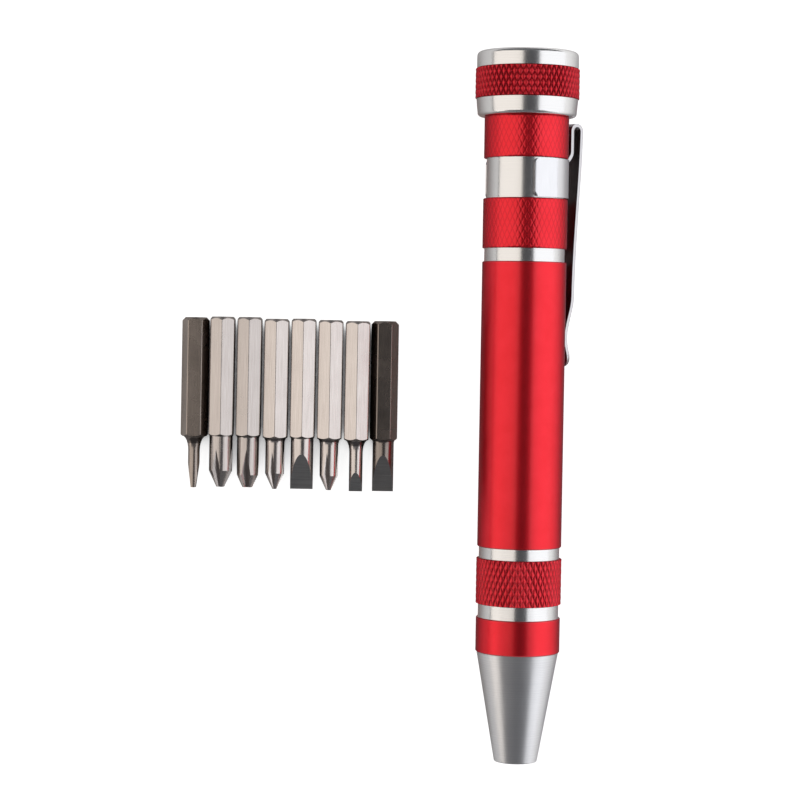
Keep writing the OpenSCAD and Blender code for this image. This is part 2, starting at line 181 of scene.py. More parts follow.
# %% Floor
FLOOR_SIZE = 6.0
FLOOR_PAINT, FLOOR_ROUGHNESS = (0.7, 0.7, 0.7, 1), 0.9
FLOOR_GLOW, FLOOR_GLOW_IN_METAL = 0.9, 0.6
WHITE = (1, 1, 1, 1)
DIM_SIDE = 0.5
DIM_EDGE, LIT_EDGE = 15 * MM, 31 * MM
GAP_REACH = 5 * MM
NARROW, WIDE = 0.05, 0.3
SHADE_REACH = 60 * MM
SHADED, OPEN = 0.7, 1.0
SHADE_POWER = 3.2

floor_material, tree, paint = new_material("floor_white")
ray = add_node(tree, "ShaderNodeLightPath").outputs
seen_glow = math_node(tree, "MULTIPLY", ray["Is Camera Ray"], FLOOR_GLOW)
seen_glow = math_node(tree, "MULTIPLY", seen_glow, openness(tree, GAP_REACH, NARROW, WIDE))
reflected = math_node(tree, "ADD", ray["Is Glossy Ray"], ray["Is Transmission Ray"])
reflected_glow = math_node(tree, "MULTIPLY", reflected, FLOOR_GLOW_IN_METAL)
unshaded = math_node(tree, "POWER", openness(tree, SHADE_REACH, SHADED, OPEN), SHADE_POWER)
reflected_glow = math_node(tree, "MULTIPLY", reflected_glow, unshaded)
place = axes_of(tree, add_node(tree, "ShaderNodeTexCoord").outputs["Object"])
side = map_range(tree, place["X"], DIM_EDGE, LIT_EDGE, DIM_SIDE, 1.0)
reflected_glow = math_node(tree, "MULTIPLY", reflected_glow, side)
feed(paint, {"Base Color": FLOOR_PAINT, "Roughness": FLOOR_ROUGHNESS, "Specular IOR Level": 0.0,
             "Emission Color": WHITE,
             "Emission Strength": math_node(tree, "ADD", seen_glow, reflected_glow)})

half = FLOOR_SIZE / 2
corners = [(-half, -half, 0), (half, -half, 0), (half, half, 0), (-half, half, 0)]
floor_mesh = bpy.data.meshes.new("floor")
floor_mesh.from_pydata(corners, [], [(0, 1, 2, 3)])
floor = new_object("floor", floor_mesh, [floor_material])
print("floor is", FLOOR_SIZE, "m wide")

# %% [markdown]
# ## Light
# Polished metal shows the lights themselves. In the photograph every silver ring has a warm
# bright field on its left, a dark stripe just right of the middle and a cool bright field on
# its right. A surface that leans by some angle mirrors what stands at twice that angle, so the
# fields give the place and width of two large soft lamps, and the stripe is the dark gap
# between them overhead. The cone leans towards the nose, mirrors what stands further that way,
# and shows narrower fields, so each lamp goes on there as a low strip.

# %% Lamps
LAMP_DISTANCE = 500 * MM
FAR_END, NEAR_END, STRIP_END = 320 * MM, -140 * MM, -340 * MM


def soft_lamp(name, low_angle, high_angle, low_end, high_end, radiance, colour):
    """A soft lamp that fills the angles from the zenith towards +X, between two ends along Y."""
    middle = math.radians((low_angle + high_angle) / 2)
    half = math.radians(abs(high_angle - low_angle) / 2)
    width = 2 * LAMP_DISTANCE * math.tan(half)
    data = bpy.data.lights.new(name, "AREA")
    data.shape = "RECTANGLE"
    data.size = width
    data.size_y = high_end - low_end
    data.energy = radiance * math.pi * width * (high_end - low_end)
    data.color = colour
    lamp = bpy.data.objects.new(name, data)
    along = (low_end + high_end) / 2
    lamp.location = (LAMP_DISTANCE * math.sin(middle), along, LAMP_DISTANCE * math.cos(middle))
    lamp.rotation_euler = (0, middle, 0)
    lamp.visible_camera = False
    bpy.context.scene.collection.objects.link(lamp)
    print(name, "is", round(width, 3), "m wide")


WARM, COOL = (1.0, 0.93, 0.85), (0.97, 0.98, 1.0)
soft_lamp("left_lamp", -11, -85, NEAR_END, FAR_END, 0.92, WARM)
soft_lamp("right_lamp", 25, 89, NEAR_END, FAR_END, 1.08, COOL)
soft_lamp("left_strip", -56, -87, STRIP_END, NEAR_END, 1.3, WARM)
soft_lamp("right_strip", 46, 89, STRIP_END, NEAR_END, 1.25, COOL)

# %% World
ZENITH_LEVEL = 0.07
ROOM_LEVEL = 0.15
HOOD_EDGE = 0.85
ROOM_COLOUR = (0.93, 0.94, 1, 1)

world = bpy.data.worlds.new("studio")
world.use_nodes = True
bpy.context.scene.world = world
tree = world.node_tree
background = tree.nodes["Background"]
direction = axes_of(tree, add_node(tree, "ShaderNodeTexCoord").outputs["Generated"])
level = map_range(tree, direction["Z"], HOOD_EDGE, 1.0, ROOM_LEVEL, ZENITH_LEVEL)
ray = add_node(tree, "ShaderNodeLightPath").outputs
seen = add_node(tree, "ShaderNodeMix", {"Factor": ray["Is Camera Ray"], "A": level, "B": 1.0},
                data_type="FLOAT")
feed(background, {"Color": ROOM_COLOUR, "Strength": seen.outputs["Result"]})
print("world is", ROOM_LEVEL, "around and", ZENITH_LEVEL, "overhead")

# %% [markdown]
# ## Shared finishes
# Three effects return on several pieces: the fine rings that a lathe tool leaves round the
# axis, a fine grain, and bright wear along edges. Each is a node group with named inputs, so
# that every material can use it with its own values. Patterns on the driver are read in
# millimetres from the tip of its nose, with the axis along Z.

# %% Effect groups
NOISE_LOW, NOISE_HIGH = 0.3, 0.7
CLOUD_SHARE = 0.04


def effect_group(name, inputs, outputs):
    """An empty shader group with its inputs and its output node."""
    group = bpy.data.node_groups.new(name, "ShaderNodeTree")
    for label, kind in inputs:
        group.interface.new_socket(label, in_out="INPUT", socket_type=kind)
    for label in outputs:
        group.interface.new_socket(label, in_out="OUTPUT", socket_type="NodeSocketFloat")
    return group, add_node(group, "NodeGroupInput").outputs, add_node(group, "NodeGroupOutput")


turning_group, entry, leave = effect_group(
    "turning_marks", [("Place", "NodeSocketVector"), ("Lines", "NodeSocketFloat")], ["Mark"])
tree = turning_group
place = axes_of(tree, entry["Place"])
flat_place = add_node(tree, "ShaderNodeCombineXYZ", {"X": place["X"], "Y": place["Y"]})
radius = add_node(tree, "ShaderNodeVectorMath", {0: flat_place.outputs[0]}, operation="LENGTH")
feedway = math_node(tree, "ADD", place["Z"], radius.outputs["Value"])
feedway = math_node(tree, "MULTIPLY", feedway, entry["Lines"])
rings = add_node(tree, "ShaderNodeTexNoise", {"W": feedway, "Scale": 1.0, "Detail": 2.0},
                 noise_dimensions="1D")
feed(leave, {"Mark": map_range(tree, rings.outputs["Fac"], NOISE_LOW, NOISE_HIGH)})

grain_group, entry, leave = effect_group(
    "fine_grain", [("Place", "NodeSocketVector"), ("Grains", "NodeSocketFloat")], ["Grain", "Cloud"])
tree = grain_group
clouds = math_node(tree, "MULTIPLY", entry["Grains"], CLOUD_SHARE)
for output, scale, detail in (("Grain", entry["Grains"], 3.0), ("Cloud", clouds, 2.0)):
    noise = add_node(tree, "ShaderNodeTexNoise",
                     {"Vector": entry["Place"], "Scale": scale, "Detail": detail})
    feed(leave, {output: map_range(tree, noise.outputs["Fac"], NOISE_LOW, NOISE_HIGH)})

wear_group, entry, leave = effect_group(
    "edge_wear", [(label, "NodeSocketFloat") for label in ("Edge", "Grain", "Amount")], ["Wear"])
tree = wear_group
rubbed = math_node(tree, "MULTIPLY", entry["Edge"], entry["Amount"])
rough_edge = math_node(tree, "MULTIPLY_ADD", entry["Grain"], 0.6, 0.4)
feed(leave, {"Wear": math_node(tree, "MULTIPLY", rubbed, rough_edge)})
print("effect groups:", [group.name for group in (turning_group, grain_group, wear_group)])


# %% Placing the effects in a material
def object_place(tree, scale, location=(0, 0, 0), rotation=(0, 0, 0)):
    """Object coordinates, read in a frame with a scale, a place and a turn of its own."""
    place = add_node(tree, "ShaderNodeTexCoord").outputs["Object"]
    mapping = add_node(tree, "ShaderNodeMapping", {
        "Vector": place, "Scale": scale, "Location": location, "Rotation": rotation},
        vector_type="TEXTURE")
    return mapping.outputs["Vector"]


def place_on_driver(tree):
    """Object coordinates in millimetres, read along the driver's own axis."""
    return object_place(tree, (MM, MM, MM), nose_tip, lay_down.to_euler())


def place_on_table(tree, stretch=(1, 1, 1)):
    """Object coordinates in millimetres, drawn out along the axes by a stretch."""
    return object_place(tree, [MM * share for share in stretch])


def attribute(tree, name):
    """A value that the mesh carries under a name."""
    return add_node(tree, "ShaderNodeAttribute", attribute_name=name).outputs["Fac"]


def use_effect(tree, group, **values):
    """One use of an effect group. Returns the outputs by name."""
    return add_node(tree, "ShaderNodeGroup", values, node_tree=group).outputs


def mix_colour(tree, share, first, second):
    """A colour between two, by a share."""
    node = add_node(tree, "ShaderNodeMix", {"Factor": share}, data_type="RGBA")
    for socket, colour in (("A", first), ("B", second)):
        place = [s for s in node.inputs if s.name == socket and s.type == "RGBA"][0]
        if isinstance(colour, bpy.types.NodeSocket):
            tree.links.new(colour, place)
        else:
            place.default_value = (*colour, 1)
    return [s for s in node.outputs if s.type == "RGBA"][0]


def bump(tree, height, depth):
    """The normal of a surface raised by a height from 0 to 1 over a depth in metres."""
    node = add_node(tree, "ShaderNodeBump", {"Height": height, "Distance": depth, "Strength": 1.0})
    return node.outputs["Normal"]


print("effects are read in millimetres")

# %% [markdown]
# ## Metals
# Anodising is a thin clear red film over satin aluminium, so it is a metal with a red base
# colour under a light coat. Bright-cut grooves are bare aluminium with a fine shine. The nose is
# bare too, but turned more coarsely, so it is duller. The edges of the red bands wear back to
# pale metal.

# %% Turned and anodised metal
# The first colour is shade painted into the valleys of the knurls, the second pale wear on band edges.
VALLEY_SHADE_RED, WORN_RED = (0.30, 0.003, 0.012), (0.85, 0.55, 0.55)
FILM_TINT = (0.3, 0.3, 0.4, 1.0)
COAT_WEIGHT, COAT_ROUGHNESS = 0.4, 0.18
FILM_GRAIN_DEPTH = 0.0012 * MM


def turned_metal(name, colour, dull, roughness, spread, lines, ring_depth):
    """Bare metal off the lathe: rings vary its tone, its roughness and its height."""
    material, tree, shader = new_material(name)
    place = place_on_driver(tree)
    mark = use_effect(tree, turning_group, Place=place, Lines=lines)["Mark"]
    grain = use_effect(tree, grain_group, Place=place, Grains=5.0)
    shine = math_node(tree, "MULTIPLY_ADD", mark, -spread, roughness + spread)
    shine = math_node(tree, "MULTIPLY_ADD", grain["Cloud"], spread / 2, shine)
    feed(shader, {"Base Color": mix_colour(tree, mark, dull, colour), "Roughness": shine,
                  "Metallic": 1.0, "Normal": bump(tree, mark, ring_depth)})
    return material


def anodised(name, colour, deep, roughness, wear_amount, shade):
    """Red film with a light coat, worn pale along the edges of bands, with shade painted into its valleys."""
    material, tree, shader = new_material(name)
    place = place_on_driver(tree)
    grain = use_effect(tree, grain_group, Place=place, Grains=9.0)
    mark = use_effect(tree, turning_group, Place=place, Lines=6.0)["Mark"]
    wear = use_effect(tree, wear_group, Edge=attribute(tree, "edge"), Grain=grain["Grain"],
                      Amount=wear_amount)["Wear"]
    film = mix_colour(tree, grain["Cloud"], deep, colour)
    # Shade is painted into the valleys of the knurls, by the depth that the knurl tree keeps.
    valley = math_node(tree, "MULTIPLY", attribute(tree, "valley"), shade)
    film = mix_colour(tree, valley, film, VALLEY_SHADE_RED)
    satin = math_node(tree, "MULTIPLY_ADD", grain["Grain"], 0.06, roughness)
    satin = math_node(tree, "MULTIPLY_ADD", mark, 0.03, satin)
    feed(shader, {"Base Color": mix_colour(tree, wear, film, WORN_RED), "Roughness": satin,
                  "Metallic": 1.0, "Normal": bump(tree, grain["Grain"], FILM_GRAIN_DEPTH),
                  "Specular Tint": FILM_TINT, "Coat Weight": COAT_WEIGHT,
                  "Coat Roughness": COAT_ROUGHNESS})
    return material


# Name, colour, deeper colour, roughness, wear on edges, shade painted into valleys
red_film, knurl_film, cap_film = films = [anodised(*row) for row in (
    ("red_anodised", (0.89, 0.022, 0.038), (0.85, 0.018, 0.031), 0.30, 0.1, 0.38),
    ("red_knurled", (0.91, 0.032, 0.052), (0.83, 0.020, 0.034), 0.38, 0.1, 0.7),
    ("cap_anodised", (0.80, 0.022, 0.040), (0.70, 0.013, 0.025), 0.38, 0.1, 0.85))]
# Name, colour, dull colour, roughness, its spread, rings in a millimetre, their depth
bright_cut, cone_metal, bore_metal = bare = [turned_metal(*row) for row in (
    ("bright_cut", (0.84, 0.835, 0.83), (0.79, 0.785, 0.78), 0.15, 0.06, 9.0, 0.0004 * MM),
    ("bare_cone", (0.80, 0.80, 0.81), (0.70, 0.70, 0.715), 0.28, 0.08, 8.0, 0.0009 * MM),
    ("bored_inside", (0.42, 0.40, 0.39), (0.3, 0.29, 0.28), 0.4, 0.1, 3.0, 0.002 * MM))]
print("driver finishes:", [material.name for material in films + bare])

# %% Steel, magnet and rubber
# The first colour is for painted shade and for the darker tone of some bits, the second for pale wear.
SHADE_AND_TONE, WORN_STEEL = (0.05, 0.042, 0.04), (0.9, 0.88, 0.85)
STEEL_WEAR = 0.5
ALONG_Y, ACROSS_Y, EVEN = (1, 30, 1), (30, 1, 30), (1, 1, 1)


def drawn_steel(name, colour, dull, roughness, spread, stretch, depth):
    """Steel with fine lines along the way it was drawn or ground, darkened where a face carries painted shade or a
    darker tone.
    """
    material, tree, shader = new_material(name)
    lines = use_effect(tree, grain_group, Place=place_on_table(tree, stretch), Grains=7.0)
    grain = use_effect(tree, grain_group, Place=place_on_table(tree), Grains=6.0)
    wear = use_effect(tree, wear_group, Edge=attribute(tree, "edge"), Grain=grain["Grain"],
                      Amount=STEEL_WEAR)["Wear"]
    tone = mix_colour(tree, lines["Grain"], dull, colour)
    # The shade value on each face mixes in painted shade, and on some bits a darker tone all over.
    tone = mix_colour(tree, attribute(tree, "shade"), tone, SHADE_AND_TONE)
    shine = math_node(tree, "MULTIPLY_ADD", grain["Cloud"], spread, roughness)
    feed(shader, {"Base Color": mix_colour(tree, wear, tone, WORN_STEEL), "Roughness": shine,
                  "Metallic": 1.0, "Normal": bump(tree, lines["Grain"], depth)})
    return material


# Name, colour, dull colour, roughness, its spread, stretch of the lines, their depth
clip_steel, clip_edge, clip_inside, bit_steel, dark_steel, ground_steel, magnet_steel = steels = [
    drawn_steel(*row) for row in (
        ("clip_steel", (0.80, 0.80, 0.82), (0.75, 0.75, 0.77), 0.09, 0.06, ALONG_Y, 0.0003 * MM),
        # A darker, rougher copy of the clip steel for the rims of the strip: painted shade that keeps its edges
        # grey.
        ("clip_edge", (0.64, 0.625, 0.64), (0.58, 0.565, 0.58), 0.2, 0.06, ALONG_Y, 0.0003 * MM),
        # A dark steel for the inner faces of stem and tongue: painted shade and reflection of the dark barrel side
        # and shadowed floor.
        ("clip_inside", (0.28, 0.24, 0.24), (0.22, 0.19, 0.19), 0.3, 0.1, ALONG_Y, 0.001 * MM),
        ("bit_nickel", (0.71, 0.65, 0.62), (0.62, 0.565, 0.535), 0.2, 0.08, ALONG_Y, 0.001 * MM),
        ("bit_dark", (0.43, 0.37, 0.33), (0.35, 0.30, 0.27), 0.22, 0.08, ALONG_Y, 0.001 * MM),
        ("ground_flat", (0.42, 0.42, 0.42), (0.3, 0.3, 0.3), 0.36, 0.1, ACROSS_Y, 0.002 * MM),
        ("magnet", (0.5, 0.5, 0.52), (0.4, 0.4, 0.42), 0.3, 0.1, EVEN, 0.001 * MM))]

RUBBER_BLACK, RUBBER_GREY = (0.012, 0.012, 0.012), (0.03, 0.03, 0.03)
rubber, tree, shader = new_material("washer_rubber")
grain = use_effect(tree, grain_group, Place=place_on_driver(tree), Grains=6.0)
feed(shader, {"Base Color": mix_colour(tree, grain["Cloud"], RUBBER_BLACK, RUBBER_GREY),
              "Roughness": math_node(tree, "MULTIPLY_ADD", grain["Grain"], 0.15, 0.6),
              "Normal": bump(tree, grain["Grain"], 0.01 * MM)})
print("steels and rubber:", [material.name for material in steels + [rubber]])

# %% [markdown]
# ## Turned pieces
# The barrel, the cap and the nose all come off a lathe, so each is a half outline swept round
# the axis. An outline point holds its radius, its height, the finish of the stretch that follows
# it and, where it needs one, its kind. Small chamfers catch the light at each edge, and the
# vertices on them carry the "edge" value that the wear effect reads.

# %% Lathe
TURN_STEPS = 192
TURNED_SHARP = math.radians(28)


def hexagon_share(angle):
    """How far the side of a hexagon lies from its middle, as a share of its corner radius."""
    sixth = math.pi / 3
    return math.cos(sixth / 2) / math.cos(angle % sixth - sixth / 2)


def swept(name, outline, finishes):
    """Sweeps a closed outline of (radius, height, finish, kind) round Z and lays it down.
    The kind is left out, or it is "edge" for a chamfer or "hexagon"."""
    form = bmesh.new()
    edge_layer = form.verts.layers.float.new("edge")
    rings = []
    for radius, height, _, *kind in outline:
        ring = []
        for step in range(TURN_STEPS if radius else 1):
            angle = 2 * math.pi * step / TURN_STEPS
            reach = radius * (hexagon_share(angle) if "hexagon" in kind else 1)
            vertex = form.verts.new((reach * math.cos(angle), reach * math.sin(angle), height))
            vertex[edge_layer] = 1.0 if "edge" in kind else 0.0
            ring.append(vertex)
        rings.append(ring)
    for place, point in enumerate(outline):
        here, there = rings[place], rings[(place + 1) % len(rings)]
        if len(here) == len(there) == 1:
            continue
        for step in range(TURN_STEPS):
            after = (step + 1) % TURN_STEPS
            corners = [here[step % len(here)], here[after % len(here)],
                       there[after % len(there)], there[step % len(there)]]
            face = form.faces.new(list(dict.fromkeys(corners)))
            face.material_index = point[2]
    bmesh.ops.recalc_face_normals(form, faces=form.faces[:])
    form.transform(lay_down)
    mesh = bpy.data.meshes.new(name)
    form.to_mesh(mesh)
    form.free()
    mesh.shade_smooth()
    mesh.set_sharp_from_angle(angle=TURNED_SHARP)
    print(f"{name}: {len(mesh.polygons)} faces")
    return new_object(name, mesh, finishes)


def arc(centre, radius, start, end, finish, *kind, steps=8):
    """Outline points on an arc about a centre, between two angles in degrees."""
    points = []
    for step in range(steps + 1):
        angle = math.radians(start + (end - start) * step / steps)
        points.append((centre[0] + radius * math.cos(angle), centre[1] + radius * math.sin(angle),
                       finish, *kind))
    return points


# %% [markdown]
# ## Barrel
# From the nose to the cap the barrel is a row of bands: plain red, bright groove, knurled red,
# and so on. The outline is worked out from the list of bands, as on a turner's drawing. Under
# each knurl it leaves a lower core, because the knurls are made as sleeves of their own.

# %% Barrel
RED, BRIGHT, BORE = 0, 1, 2
BARREL_R = 6.8 * MM
KNURL_R = BARREL_R + 0.1 * MM
GROOVE_R = BARREL_R - 0.3 * MM
CLIP_GROOVE_R = BARREL_R - 0.45 * MM
CORE_UNDER_KNURL = KNURL_R - 0.45 * MM
BORE_R = 5.4 * MM
THREAD_R = 6.5 * MM
THREAD_ROOT_R = 6.05 * MM
CONE_LEN = 17.8 * MM
NECK_END = mouth_z + 7.6 * MM
CHAMFER = 0.14 * MM
NECK_LIP = 0.15 * MM

BANDS = (("front_band", 5.63, BARREL_R), ("front_groove", 2.14, GROOVE_R),
         ("front_knurl", 7.43, KNURL_R), ("grip_groove", 1.81, GROOVE_R),
         ("grip", 46.0, BARREL_R), ("rear_groove", 2.1, GROOVE_R),
         ("rear_knurl", 8.05, KNURL_R), ("clip_groove", 6.45, CLIP_GROOVE_R),
         ("neck_knurl", 6.75, KNURL_R))

barrel_outline = []
band_span = {}
station = CONE_LEN
for band, length, radius in BANDS:
    start, station = station, station + length * MM
    band_span[band] = (start, station)
    if "groove" in band:
        barrel_outline += [(radius, start, BRIGHT), (radius, station, BRIGHT)]
    elif "knurl" in band:
        barrel_outline += [(CORE_UNDER_KNURL, start, RED), (CORE_UNDER_KNURL, station, BRIGHT)]
    else:
        barrel_outline += [
            (radius - CHAMFER, start, RED, "edge"), (radius, start + CHAMFER, RED, "edge"),
            (radius, start + 2 * CHAMFER, RED), (radius, station - 2 * CHAMFER, RED),
            (radius, station - CHAMFER, RED, "edge"), (radius - CHAMFER, station, BRIGHT, "edge")]
barrel_outline += [
    (THREAD_ROOT_R, station, BRIGHT), (THREAD_ROOT_R, NECK_END - NECK_LIP, BRIGHT),
    (THREAD_ROOT_R - NECK_LIP, NECK_END, BRIGHT), (BORE_R + NECK_LIP, NECK_END, BRIGHT),
    (BORE_R, NECK_END - NECK_LIP, BORE), (BORE_R, CONE_LEN, BRIGHT)]
barrel_tube = swept("barrel_tube", barrel_outline, [red_film, bright_cut, bore_metal])
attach(barrel_tube, "barrel")
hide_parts("barrel")

# %% [markdown]
# ## Knurled bands
# A knurling wheel presses rows of small diamonds into the metal. Modelling thousands of
# diamonds by hand makes no sense, and a bump map would leave the outline smooth. So a Geometry
# Nodes tree folds one strip, a single diamond wide, into ridges and valleys, and sets copies of
# that strip round the axis. The strip also turns inwards at both ends and closes on its inside,
# which makes each band a closed sleeve.

# %% Tree helpers
SEAM_GAP = 0.001 * MM


def new_tree(name, numbers, counts):
    """A Geometry Nodes tree with named inputs and a material. Returns its inputs and output too."""
    tree = bpy.data.node_groups.new(name, "GeometryNodeTree")
    tree.interface.new_socket("Geometry", in_out="OUTPUT", socket_type="NodeSocketGeometry")
    inputs = [(label, "NodeSocketFloat") for label in numbers]
    inputs += [(label, "NodeSocketInt") for label in counts]
    for label, kind in inputs + [("Material", "NodeSocketMaterial")]:
        tree.interface.new_socket(label, in_out="INPUT", socket_type=kind)
    return tree, add_node(tree, "NodeGroupInput").outputs, add_node(tree, "NodeGroupOutput")


def one_step(tree, value, start):
    """0 up to a start, 1 from one step after it, and a straight rise between."""
    return map_range(tree, value, start, math_node(tree, "ADD", start, 1.0))


def grid_places(tree, columns, rows):
    """A flat grid, and the column and row number of each of its points."""
    grid = add_node(tree, "GeometryNodeMeshGrid", {
        "Vertices X": math_node(tree, "ADD", columns, 1.0),
        "Vertices Y": math_node(tree, "ADD", rows, 1.0)})
    place = axes_of(tree, add_node(tree, "GeometryNodeInputPosition").outputs[0])
    column = math_node(tree, "MULTIPLY", math_node(tree, "ADD", place["X"], 0.5), columns)
    row = math_node(tree, "MULTIPLY", math_node(tree, "ADD", place["Y"], 0.5), rows)
    return grid.outputs["Mesh"], column, row


def set_round(tree, mesh, radius, angle, height):
    """Moves the points of a mesh to a radius, an angle and a height about Z."""
    place = add_node(tree, "ShaderNodeCombineXYZ", {
        "X": math_node(tree, "MULTIPLY", radius, math_node(tree, "COSINE", angle)),
        "Y": math_node(tree, "MULTIPLY", radius, math_node(tree, "SINE", angle)), "Z": height})
    move = add_node(tree, "GeometryNodeSetPosition", {"Geometry": mesh, "Position": place.outputs[0]})
    return move.outputs["Geometry"]


def close_tree(tree, geometry, entry, leave):
    """Ends a tree: real geometry, joined seams and the material."""
    real = add_node(tree, "GeometryNodeRealizeInstances", {"Geometry": geometry})
    joined = add_node(tree, "GeometryNodeMergeByDistance",
                      {"Geometry": real.outputs["Geometry"], "Distance": SEAM_GAP})
    finish = add_node(tree, "GeometryNodeSetMaterial",
                      {"Geometry": joined.outputs["Geometry"], "Material": entry["Material"]})
    feed(leave, {"Geometry": finish.outputs["Geometry"]})


def bake_modifiers(piece):
    """Turns an object with modifiers into the plain mesh that they give."""
    graph = bpy.context.evaluated_depsgraph_get()
    mesh = bpy.data.meshes.new_from_object(piece.evaluated_get(graph))
    piece.modifiers.clear()
    piece.data = mesh
    mesh.name = piece.name
    return mesh


def make_with(tree, name, values):
    """Runs a tree once with its inputs set, and returns the result as a plain object laid down."""
    piece = new_object(name, bpy.data.meshes.new(name), [])
    modifier = piece.modifiers.new("made", "NODES")
    modifier.node_group = tree
    for item in tree.interface.items_tree:
        if item.in_out == "INPUT":
            modifier[item.identifier] = values[item.name]
    mesh = bake_modifiers(piece)
    mesh.transform(lay_down)
    print(f"{name}: {len(mesh.polygons)} faces")
    return piece


# %% Knurl tree
FIRST_TOOTH_ROW, CLOSING_ROWS = 2.0, 3.0

knurl_tree, entry, leave = new_tree(
    "knurl", ("Radius", "Depth", "Start", "Length", "Core", "Edge", "Slope"),
    ("Teeth", "Half Rows", "Fineness"))
tree = knurl_tree
calc = partial(math_node, tree)
pattern_rows = calc("MULTIPLY", entry["Half Rows"], entry["Fineness"])
last_row = calc("ADD", pattern_rows, FIRST_TOOTH_ROW)
columns = calc("MULTIPLY", entry["Fineness"], 2.0)
flat_strip, column, row = grid_places(tree, columns, calc("ADD", last_row, CLOSING_ROWS))
row_step = partial(one_step, tree, row)

# Height over the two families of diagonal valleys, from 0 in a valley to 1 on a tooth
over = calc("DIVIDE", column, entry["Fineness"])
up = calc("DIVIDE", calc("SUBTRACT", row, FIRST_TOOTH_ROW), entry["Fineness"])
first_valley = calc("PINGPONG", calc("ADD", over, up), 1.0)
second_valley = calc("PINGPONG", calc("SUBTRACT", over, up), 1.0)
ridge = calc("SUBTRACT", 1.0, calc("MAXIMUM", first_valley, second_valley))
climbed = calc("MINIMUM", calc("DIVIDE", ridge, entry["Slope"]), 1.0)
fall = calc("SUBTRACT", 1.0, climbed)
valley = calc("MULTIPLY", fall, fall)
tooth = calc("SUBTRACT", 1.0, valley)

# Each square cell is parted along the diagonal that its valley follows
block = calc("ADD", calc("FLOOR", over), calc("FLOOR", up))
odd_block = calc("FLOORED_MODULO", block, 2.0)
plain_cells = add_node(tree, "GeometryNodeTriangulate", {"Mesh": flat_strip, "Selection": odd_block},
                       quad_method="FIXED")
other_cells = add_node(tree, "GeometryNodeTriangulate", {"Mesh": plain_cells.outputs["Mesh"]},
                       quad_method="FIXED_ALTERNATE")

# The strip's cross section: out of the core, over a chamfer, along the teeth and back inside
leaving = row_step(calc("ADD", last_row, 1.0))
raised = calc("SUBTRACT", row_step(0.0), leaving)
toothed = calc("SUBTRACT", row_step(1.0), row_step(last_row))
foot = calc("SUBTRACT", calc("SUBTRACT", entry["Radius"], entry["Depth"]), entry["Edge"])
foot_rise = calc("SUBTRACT", foot, entry["Core"])
tooth_rise = calc("MULTIPLY_ADD", tooth, entry["Depth"], entry["Edge"])
radius = calc("MULTIPLY_ADD", foot_rise, raised, entry["Core"])
radius = calc("MULTIPLY_ADD", tooth_rise, toothed, radius)

run = calc("SUBTRACT", entry["Length"], calc("MULTIPLY", entry["Edge"], 2.0))
chamfers = calc("ADD", row_step(1.0), row_step(last_row))
height = calc("MULTIPLY_ADD", chamfers, entry["Edge"], entry["Start"])
height = calc("MULTIPLY_ADD", map_range(tree, row, FIRST_TOOTH_ROW, last_row), run, height)
closing = row_step(calc("ADD", last_row, 2.0))
height = calc("SUBTRACT", height, calc("MULTIPLY", closing, entry["Length"]))

step_angle = calc("DIVIDE", 2 * math.pi, entry["Teeth"])
angle = calc("MULTIPLY", calc("DIVIDE", column, columns), step_angle)
# The depth into the valleys is kept on the points, so that the films can paint shade there.
marked = add_node(tree, "GeometryNodeStoreNamedAttribute", {
    "Geometry": other_cells.outputs["Mesh"], "Name": "valley",
    "Value": calc("MULTIPLY", valley, toothed)}, data_type="FLOAT", domain="POINT")
strip = set_round(tree, marked.outputs["Geometry"], radius, angle, height)

# Copies of the strip round the axis, joined into one sleeve
points = add_node(tree, "GeometryNodePoints", {"Count": entry["Teeth"]})
index = add_node(tree, "GeometryNodeInputIndex").outputs[0]
turn = add_node(tree, "ShaderNodeCombineXYZ", {"Z": calc("MULTIPLY", index, step_angle)})
copies = add_node(tree, "GeometryNodeInstanceOnPoints", {
    "Points": points.outputs[0], "Instance": strip, "Rotation": turn.outputs[0]})
close_tree(knurl_tree, copies.outputs["Instances"], entry, leave)
print("knurl tree has", len(knurl_tree.nodes), "nodes")


# %% Knurled bands
BARREL_TEETH, CAP_TEETH = 46, 57
HALF_ROW = 1.02 * MM
FINENESS = 4
CAP_R = 8.4 * MM
FINE_KNURL_R = BARREL_R + 0.02 * MM
SLEEVE_T, SLEEVE_EDGE = 0.6 * MM, 0.1 * MM
KNURL_SHARP = math.radians(60)
CAP_KNURL = (mouth_z + 2.85 * MM, mouth_z + 7.75 * MM)

# Radius, teeth round it, depth, share of a tooth that slopes, finish
COARSE = (KNURL_R, BARREL_TEETH, 0.15 * MM, 1.0, knurl_film)
FINE = (FINE_KNURL_R, BARREL_TEETH, 0.035 * MM, 0.4, red_film)
DEEP = (CAP_R, CAP_TEETH, 0.2 * MM, 1.0, cap_film)


def knurled(name, span, radius, teeth, depth, slope, film, body, node):
    """One knurled sleeve over a span of the axis, riding on a body in the place of a node."""
    length = span[1] - span[0]
    sleeve = make_with(knurl_tree, name, {
        "Radius": radius, "Depth": depth, "Start": span[0], "Length": length,
        "Core": radius - SLEEVE_T, "Edge": SLEEVE_EDGE, "Slope": slope, "Teeth": teeth,
        "Half Rows": round(length / HALF_ROW), "Fineness": FINENESS, "Material": film})
    sleeve.data.shade_smooth()
    sleeve.data.set_sharp_from_angle(angle=KNURL_SHARP)
    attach(sleeve, body)
    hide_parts(node)
    return sleeve


for band, cut in (("front_knurl", COARSE), ("rear_knurl", FINE), ("neck_knurl", FINE)):
    sleeve = knurled(band, band_span[band], *cut, "barrel", "barrel")
cap_knurl = knurled("cap_knurl", CAP_KNURL, *DEEP, "cap", "cap")

# %% [markdown]
# ## Threads
# The neck and the cap carry matching threads that only show while the cap is unscrewed. A
# thread is a strip with a blunt ridge that follows a helix, so a second small tree wraps a
# grid, four faces wide, round the axis, sinks its ends into the wall and brings them to a point.

